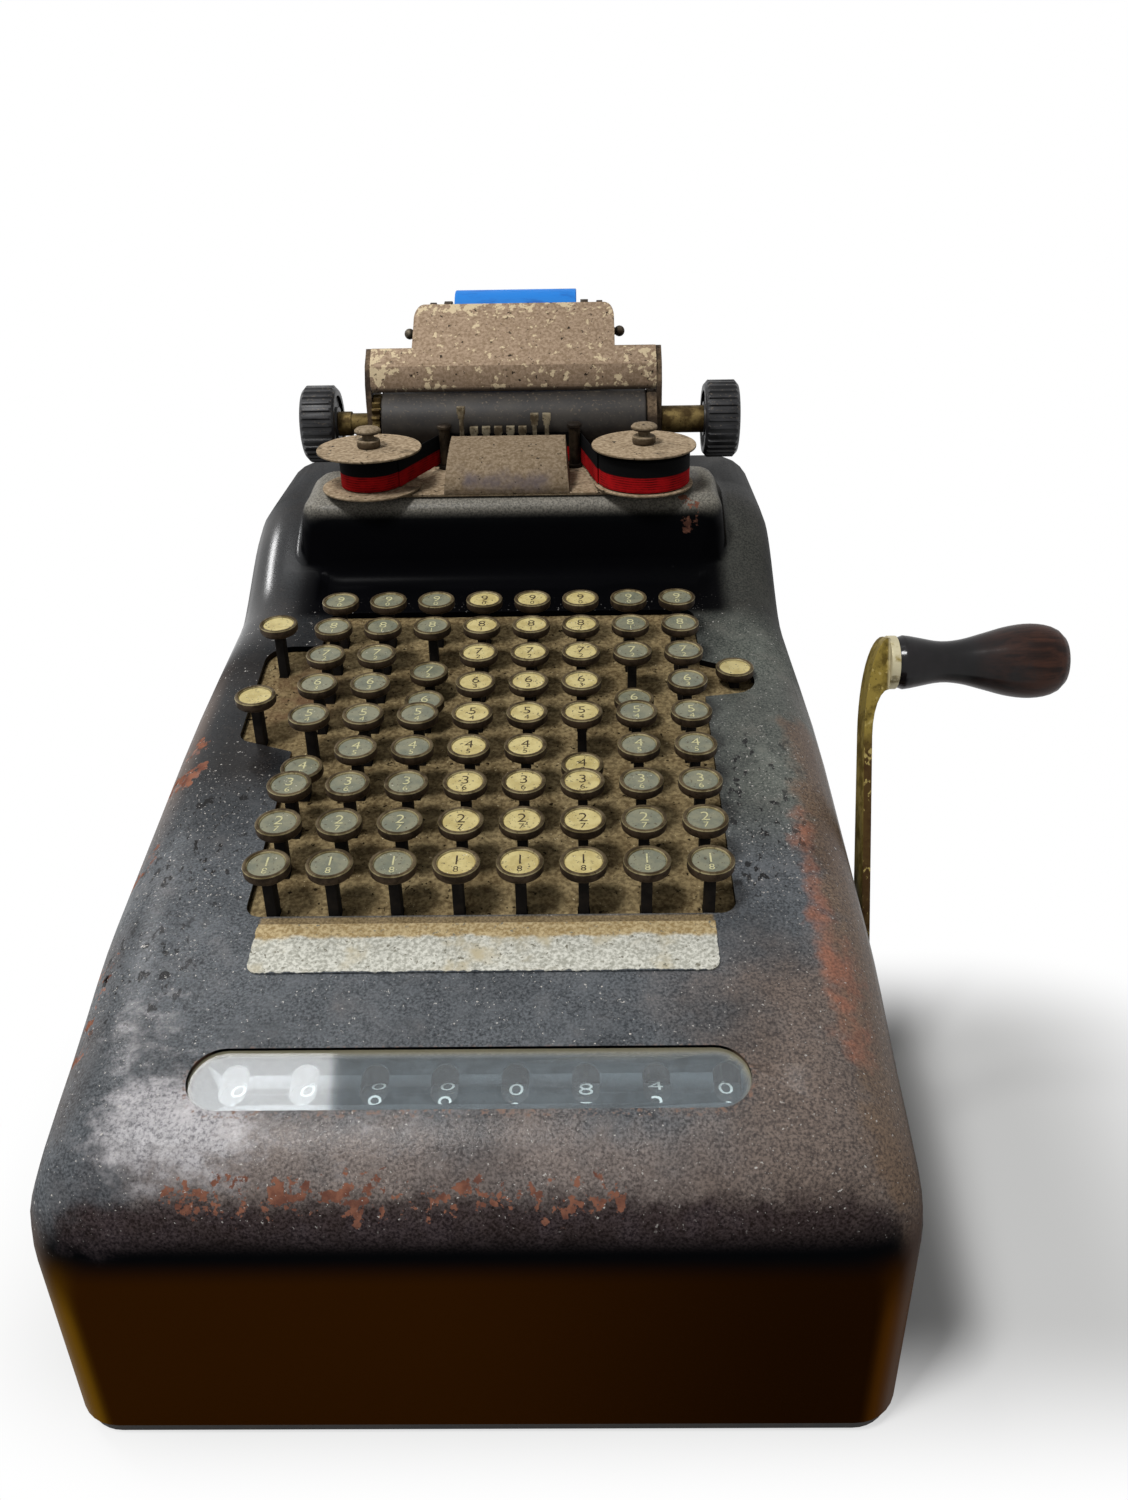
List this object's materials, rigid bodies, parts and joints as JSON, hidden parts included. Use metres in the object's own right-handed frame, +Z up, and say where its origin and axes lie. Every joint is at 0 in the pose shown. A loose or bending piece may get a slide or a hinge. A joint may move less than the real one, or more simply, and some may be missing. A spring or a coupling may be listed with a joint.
{
  "type": "full-keyboard adding machine",
  "caption": "Hand-cranked adding machine with a full keyboard, dial window, ribbon spools, platen and paper roll.",
  "frame": {"origin": "middle of the base plate's underside, on the table", "axes": "+X to the right as the operator sits, the crank's side; +Y to the back, away from the operator; +Z up"},
  "size_m": [0.3173, 0.4133, 0.2533],
  "materials": {
    "black_enamel": "worn semi-gloss black enamel, dusty and rust-spotted",
    "dusty_plate": "dull, under tan dust",
    "etched_plate": "dull grey, scuffed",
    "dial_glass": "clear, greyed by dust",
    "plain_steel": "dull steel with a brown bloom",
    "carriage_steel": "worn brown-black enamel",
    "ribbon_cloth": "inked cloth, red and black",
    "wheel_black": "matt black with white figures",
    "key_dark": "dark bronze cups with set-in discs",
    "key_cream": "cream discs in dark cups",
    "platen_rubber": "hard rubber, dulled",
    "brass": "tarnished",
    "grip_wood": "dark lacquer, worn through at the end",
    "paper_blue": "blue wrapper on a paper roll"
  },
  "bodies": {
    "machine": {"main_casing": "black_enamel", "base_plate": "black_enamel", "key_plate": "dusty_plate", "instruction_plate": "etched_plate", "window_glass": "dial_glass", "dial_mask": "plain_steel", "side_frames": "plain_steel", "frame_rods": "plain_steel", "key_guide_plate": "plain_steel", "type_cover": "dusty_plate", "spool_plate": "dusty_plate", "spool_spindles": "plain_steel", "ribbon_posts": "plain_steel", "ribbon_strand": "ribbon_cloth", "left_carriage_plate": "carriage_steel", "right_carriage_plate": "carriage_steel", "paper_table": "carriage_steel", "table_rod": "plain_steel", "roll_arms": "carriage_steel", "roll_spindle": "plain_steel", "crank_bush": "brass"},
    "key_row_1": {"key_row_1": "key_dark"},
    "key_row_2": {"key_row_2": "key_dark"},
    "key_row_3": {"key_row_3": "key_dark"},
    "key_row_4": {"key_row_4": "key_dark"},
    "key_row_5": {"key_row_5": "key_dark"},
    "key_row_6": {"key_row_6": "key_dark"},
    "key_row_7": {"key_row_7": "key_dark"},
    "key_row_8": {"key_row_8": "key_dark"},
    "key_row_9": {"key_row_9": "key_dark"},
    "total_key": {"total_key": "key_cream"},
    "sub_total_key": {"sub_total_key": "key_cream"},
    "key_c3_r7": {"key_c3_r7": "key_dark"},
    "key_c3_r6": {"key_c3_r6": "key_dark"},
    "key_c7_r6": {"key_c7_r6": "key_dark"},
    "key_c6_r4": {"key_c6_r4": "key_dark"},
    "key_c1_r4": {"key_c1_r4": "key_dark"},
    "repeat_key": {"repeat_key": "key_cream"},
    "crank": {"crank_arm": "brass", "crank_shaft": "plain_steel"},
    "crank_grip": {"crank_grip": "grip_wood"},
    "stop_bars": {"stop_bars": "plain_steel"},
    "type_bars": {"type_bars": "plain_steel"},
    "number_wheel_1": {"number_wheel_1": "wheel_black"},
    "number_wheel_2": {"number_wheel_2": "wheel_black"},
    "number_wheel_3": {"number_wheel_3": "wheel_black"},
    "number_wheel_4": {"number_wheel_4": "wheel_black"},
    "number_wheel_5": {"number_wheel_5": "wheel_black"},
    "number_wheel_6": {"number_wheel_6": "wheel_black"},
    "number_wheel_7": {"number_wheel_7": "wheel_black"},
    "number_wheel_8": {"number_wheel_8": "wheel_black"},
    "left_spool": {"left_spool": "dusty_plate", "left_ribbon": "ribbon_cloth"},
    "right_spool": {"right_spool": "dusty_plate", "right_ribbon": "ribbon_cloth"},
    "platen": {"platen": "platen_rubber", "platen_shaft": "brass", "platen_knobs": "platen_rubber"},
    "feed_roller": {"feed_roller": "plain_steel"},
    "paper_roll": {"paper_roll": "paper_blue"}
  },
  "joints": [
    {"name": "key_row_1_press", "type": "slide", "parent": "machine", "child": "key_row_1", "axis": [0, 0, -1], "range_m": [0, 0.007], "stiffness_N_per_m": 400, "springref_m": -0.004},
    {"name": "key_row_2_press", "type": "slide", "parent": "machine", "child": "key_row_2", "axis": [0, 0, -1], "range_m": [0, 0.007], "stiffness_N_per_m": 400, "springref_m": -0.004},
    {"name": "key_row_3_press", "type": "slide", "parent": "machine", "child": "key_row_3", "axis": [0, 0, -1], "range_m": [0, 0.007], "stiffness_N_per_m": 400, "springref_m": -0.004},
    {"name": "key_row_4_press", "type": "slide", "parent": "machine", "child": "key_row_4", "axis": [0, 0, -1], "range_m": [0, 0.007], "stiffness_N_per_m": 400, "springref_m": -0.004},
    {"name": "key_row_5_press", "type": "slide", "parent": "machine", "child": "key_row_5", "axis": [0, 0, -1], "range_m": [0, 0.007], "stiffness_N_per_m": 400, "springref_m": -0.004},
    {"name": "key_row_6_press", "type": "slide", "parent": "machine", "child": "key_row_6", "axis": [0, 0, -1], "range_m": [0, 0.007], "stiffness_N_per_m": 400, "springref_m": -0.004},
    {"name": "key_row_7_press", "type": "slide", "parent": "machine", "child": "key_row_7", "axis": [0, 0, -1], "range_m": [0, 0.007], "stiffness_N_per_m": 400, "springref_m": -0.004},
    {"name": "key_row_8_press", "type": "slide", "parent": "machine", "child": "key_row_8", "axis": [0, 0, -1], "range_m": [0, 0.007], "stiffness_N_per_m": 400, "springref_m": -0.004},
    {"name": "key_row_9_press", "type": "slide", "parent": "machine", "child": "key_row_9", "axis": [0, 0, -1], "range_m": [0, 0.007], "stiffness_N_per_m": 400, "springref_m": -0.004},
    {"name": "total_key_press", "type": "slide", "parent": "machine", "child": "total_key", "axis": [0, 0, -1], "range_m": [0, 0.007], "stiffness_N_per_m": 400, "springref_m": -0.004},
    {"name": "sub_total_key_press", "type": "slide", "parent": "machine", "child": "sub_total_key", "axis": [0, 0, -1], "range_m": [0, 0.007], "stiffness_N_per_m": 400, "springref_m": -0.004},
    {"name": "key_c3_r7_release", "type": "slide", "parent": "machine", "child": "key_c3_r7", "axis": [0, 0, 1], "range_m": [0, 0.0075]},
    {"name": "key_c3_r6_release", "type": "slide", "parent": "machine", "child": "key_c3_r6", "axis": [0, 0, 1], "range_m": [0, 0.0075]},
    {"name": "key_c7_r6_release", "type": "slide", "parent": "machine", "child": "key_c7_r6", "axis": [0, 0, 1], "range_m": [0, 0.0075]},
    {"name": "key_c6_r4_release", "type": "slide", "parent": "machine", "child": "key_c6_r4", "axis": [0, 0, 1], "range_m": [0, 0.0075]},
    {"name": "key_c1_r4_release", "type": "slide", "parent": "machine", "child": "key_c1_r4", "axis": [0, 0, 1], "range_m": [0, 0.0075]},
    {"name": "repeat_key_release", "type": "slide", "parent": "machine", "child": "repeat_key", "axis": [0, 0, 1], "range_m": [0, 0.0075]},
    {"name": "crank_pull", "type": "hinge", "parent": "machine", "child": "crank", "pos_m": [0.1265, -0.068, 0.056], "axis": [1, 0, 0], "range_deg": [0, 85], "stiffness_Nm_per_rad": 0.6, "springref_deg": -34.38},
    {"name": "crank_grip_turn", "type": "hinge", "parent": "crank", "child": "crank_grip", "pos_m": [0.168, -0.02492, 0.16263], "axis": [1, 0, 0], "continuous": true},
    {"name": "stop_bars_run", "type": "slide", "parent": "machine", "child": "stop_bars", "axis": [0, -0.9882, -0.153], "range_m": [0, 0.03]},
    {"name": "type_bars_rise", "type": "slide", "parent": "machine", "child": "type_bars", "axis": [0, 0, 1], "range_m": [0, 0.009]},
    {"name": "number_wheel_1_turn", "type": "hinge", "parent": "machine", "child": "number_wheel_1", "pos_m": [-0.06517, -0.17, 0.087], "axis": [1, 0, 0], "continuous": true},
    {"name": "number_wheel_2_turn", "type": "hinge", "parent": "machine", "child": "number_wheel_2", "pos_m": [-0.04612, -0.17, 0.087], "axis": [1, 0, 0], "continuous": true},
    {"name": "number_wheel_3_turn", "type": "hinge", "parent": "machine", "child": "number_wheel_3", "pos_m": [-0.02707, -0.17, 0.087], "axis": [1, 0, 0], "continuous": true},
    {"name": "number_wheel_4_turn", "type": "hinge", "parent": "machine", "child": "number_wheel_4", "pos_m": [-0.00802, -0.17, 0.087], "axis": [1, 0, 0], "continuous": true},
    {"name": "number_wheel_5_turn", "type": "hinge", "parent": "machine", "child": "number_wheel_5", "pos_m": [0.01103, -0.17, 0.087], "axis": [1, 0, 0], "continuous": true},
    {"name": "number_wheel_6_turn", "type": "hinge", "parent": "machine", "child": "number_wheel_6", "pos_m": [0.03008, -0.17, 0.087], "axis": [1, 0, 0], "continuous": true},
    {"name": "number_wheel_7_turn", "type": "hinge", "parent": "machine", "child": "number_wheel_7", "pos_m": [0.04913, -0.17, 0.087], "axis": [1, 0, 0], "continuous": true},
    {"name": "number_wheel_8_turn", "type": "hinge", "parent": "machine", "child": "number_wheel_8", "pos_m": [0.06817, -0.17, 0.087], "axis": [1, 0, 0], "continuous": true},
    {"name": "right_spool_turn", "type": "hinge", "parent": "machine", "child": "right_spool", "pos_m": [0.0575, 0.102, 0.197], "axis": [0, 0, 1], "continuous": true},
    {"name": "left_spool_turn", "type": "hinge", "parent": "machine", "child": "left_spool", "pos_m": [-0.0585, 0.102, 0.197], "axis": [0, 0, 1], "continuous": true},
    {"name": "platen_turn", "type": "hinge", "parent": "machine", "child": "platen", "pos_m": [0.0012, 0.15, 0.204], "axis": [1, 0, 0], "continuous": true},
    {"name": "feed_roller_turn", "type": "hinge", "parent": "machine", "child": "feed_roller", "pos_m": [0.0012, 0.153, 0.1832], "axis": [1, 0, 0], "continuous": true},
    {"name": "paper_roll_turn", "type": "hinge", "parent": "machine", "child": "paper_roll", "pos_m": [0.0012, 0.2, 0.24], "axis": [1, 0, 0], "continuous": true}
  ],
  "couplings": [
    {"joint": "stop_bars_run", "follows": "crank_pull", "m_per_rad": 0.020155},
    {"joint": "type_bars_rise", "follows": "crank_pull", "m_per_rad": 0.0059992},
    {"joint": "left_spool_turn", "follows": "right_spool_turn", "ratio": 1.5},
    {"joint": "feed_roller_turn", "follows": "platen_turn", "ratio": -3}
  ]
}
